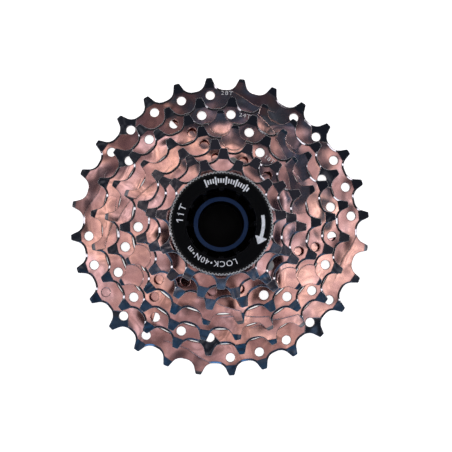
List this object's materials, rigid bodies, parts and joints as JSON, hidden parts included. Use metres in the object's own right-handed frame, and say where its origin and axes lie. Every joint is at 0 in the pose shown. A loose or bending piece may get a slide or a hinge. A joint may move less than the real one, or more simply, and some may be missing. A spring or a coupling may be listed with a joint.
{
  "type": "bicycle cassette",
  "caption": "Stack of toothed steel sprockets of stepped size with shift ramps and windows, spacers, splined bore, screwed lockring, held on a moulded packing core.",
  "frame": {"origin": "on the axis, in the plane of the packing core's flange that the stack stands on", "axes": "+Z along the axis from the largest sprocket to the lockring; +Y through the narrow key lug"},
  "size_m": [0.115, 0.115, 0.0369],
  "materials": {
    "core_plastic": "moulded satin black plastic",
    "plate_steel": "polished plate with a rosy bronze tint, dark tooth bevels",
    "spacer_steel": "plated steel",
    "spacer_plastic": "moulded black plastic",
    "rivet_steel": "bright steel",
    "washer_steel": "bright rolled steel",
    "lockring_black": "satin black anodised with white print"
  },
  "bodies": {
    "core": {"packing_core": "core_plastic"},
    "cluster": {"sprocket_28": "plate_steel", "spacer_28_24": "spacer_steel", "sprocket_24": "plate_steel", "spacer_24_21": "spacer_steel", "sprocket_21": "plate_steel", "spacer_21_18": "spacer_steel", "sprocket_18": "plate_steel", "spacer_18_15": "spacer_steel", "sprocket_15": "plate_steel", "rivet_1": "rivet_steel", "rivet_2": "rivet_steel", "rivet_3": "rivet_steel"},
    "loose_spacer": {"spacer_15_13": "spacer_plastic"},
    "small_13": {"sprocket_13": "plate_steel"},
    "small_11": {"sprocket_11": "plate_steel"},
    "washer": {"lockring_washer": "washer_steel"},
    "lockring": {"lockring": "lockring_black"}
  },
  "joints": [
    {"name": "cluster_slide", "type": "slide", "parent": "core", "child": "cluster", "axis": [0, 0, 1], "range_m": [0, 0.032]},
    {"name": "spacer_slide", "type": "slide", "parent": "cluster", "child": "loose_spacer", "axis": [0, 0, 1], "range_m": [0, 0.01]},
    {"name": "sprocket_13_slide", "type": "slide", "parent": "loose_spacer", "child": "small_13", "axis": [0, 0, 1], "range_m": [0, 0.008]},
    {"name": "sprocket_11_slide", "type": "slide", "parent": "small_13", "child": "small_11", "axis": [0, 0, 1], "range_m": [0, 0.008]},
    {"name": "lockring_lift", "type": "slide", "parent": "small_11", "child": "washer", "axis": [0, 0, 1], "range_m": [0, 0.006]},
    {"name": "lockring_turn", "type": "hinge", "parent": "washer", "child": "lockring", "pos_m": [0, 0, 0.03], "axis": [0, 0, 1], "range_deg": [0, 2160]}
  ],
  "couplings": [
    {"joint": "lockring_lift", "follows": "lockring_turn", "m_per_rad": 0.00015915}
  ]
}
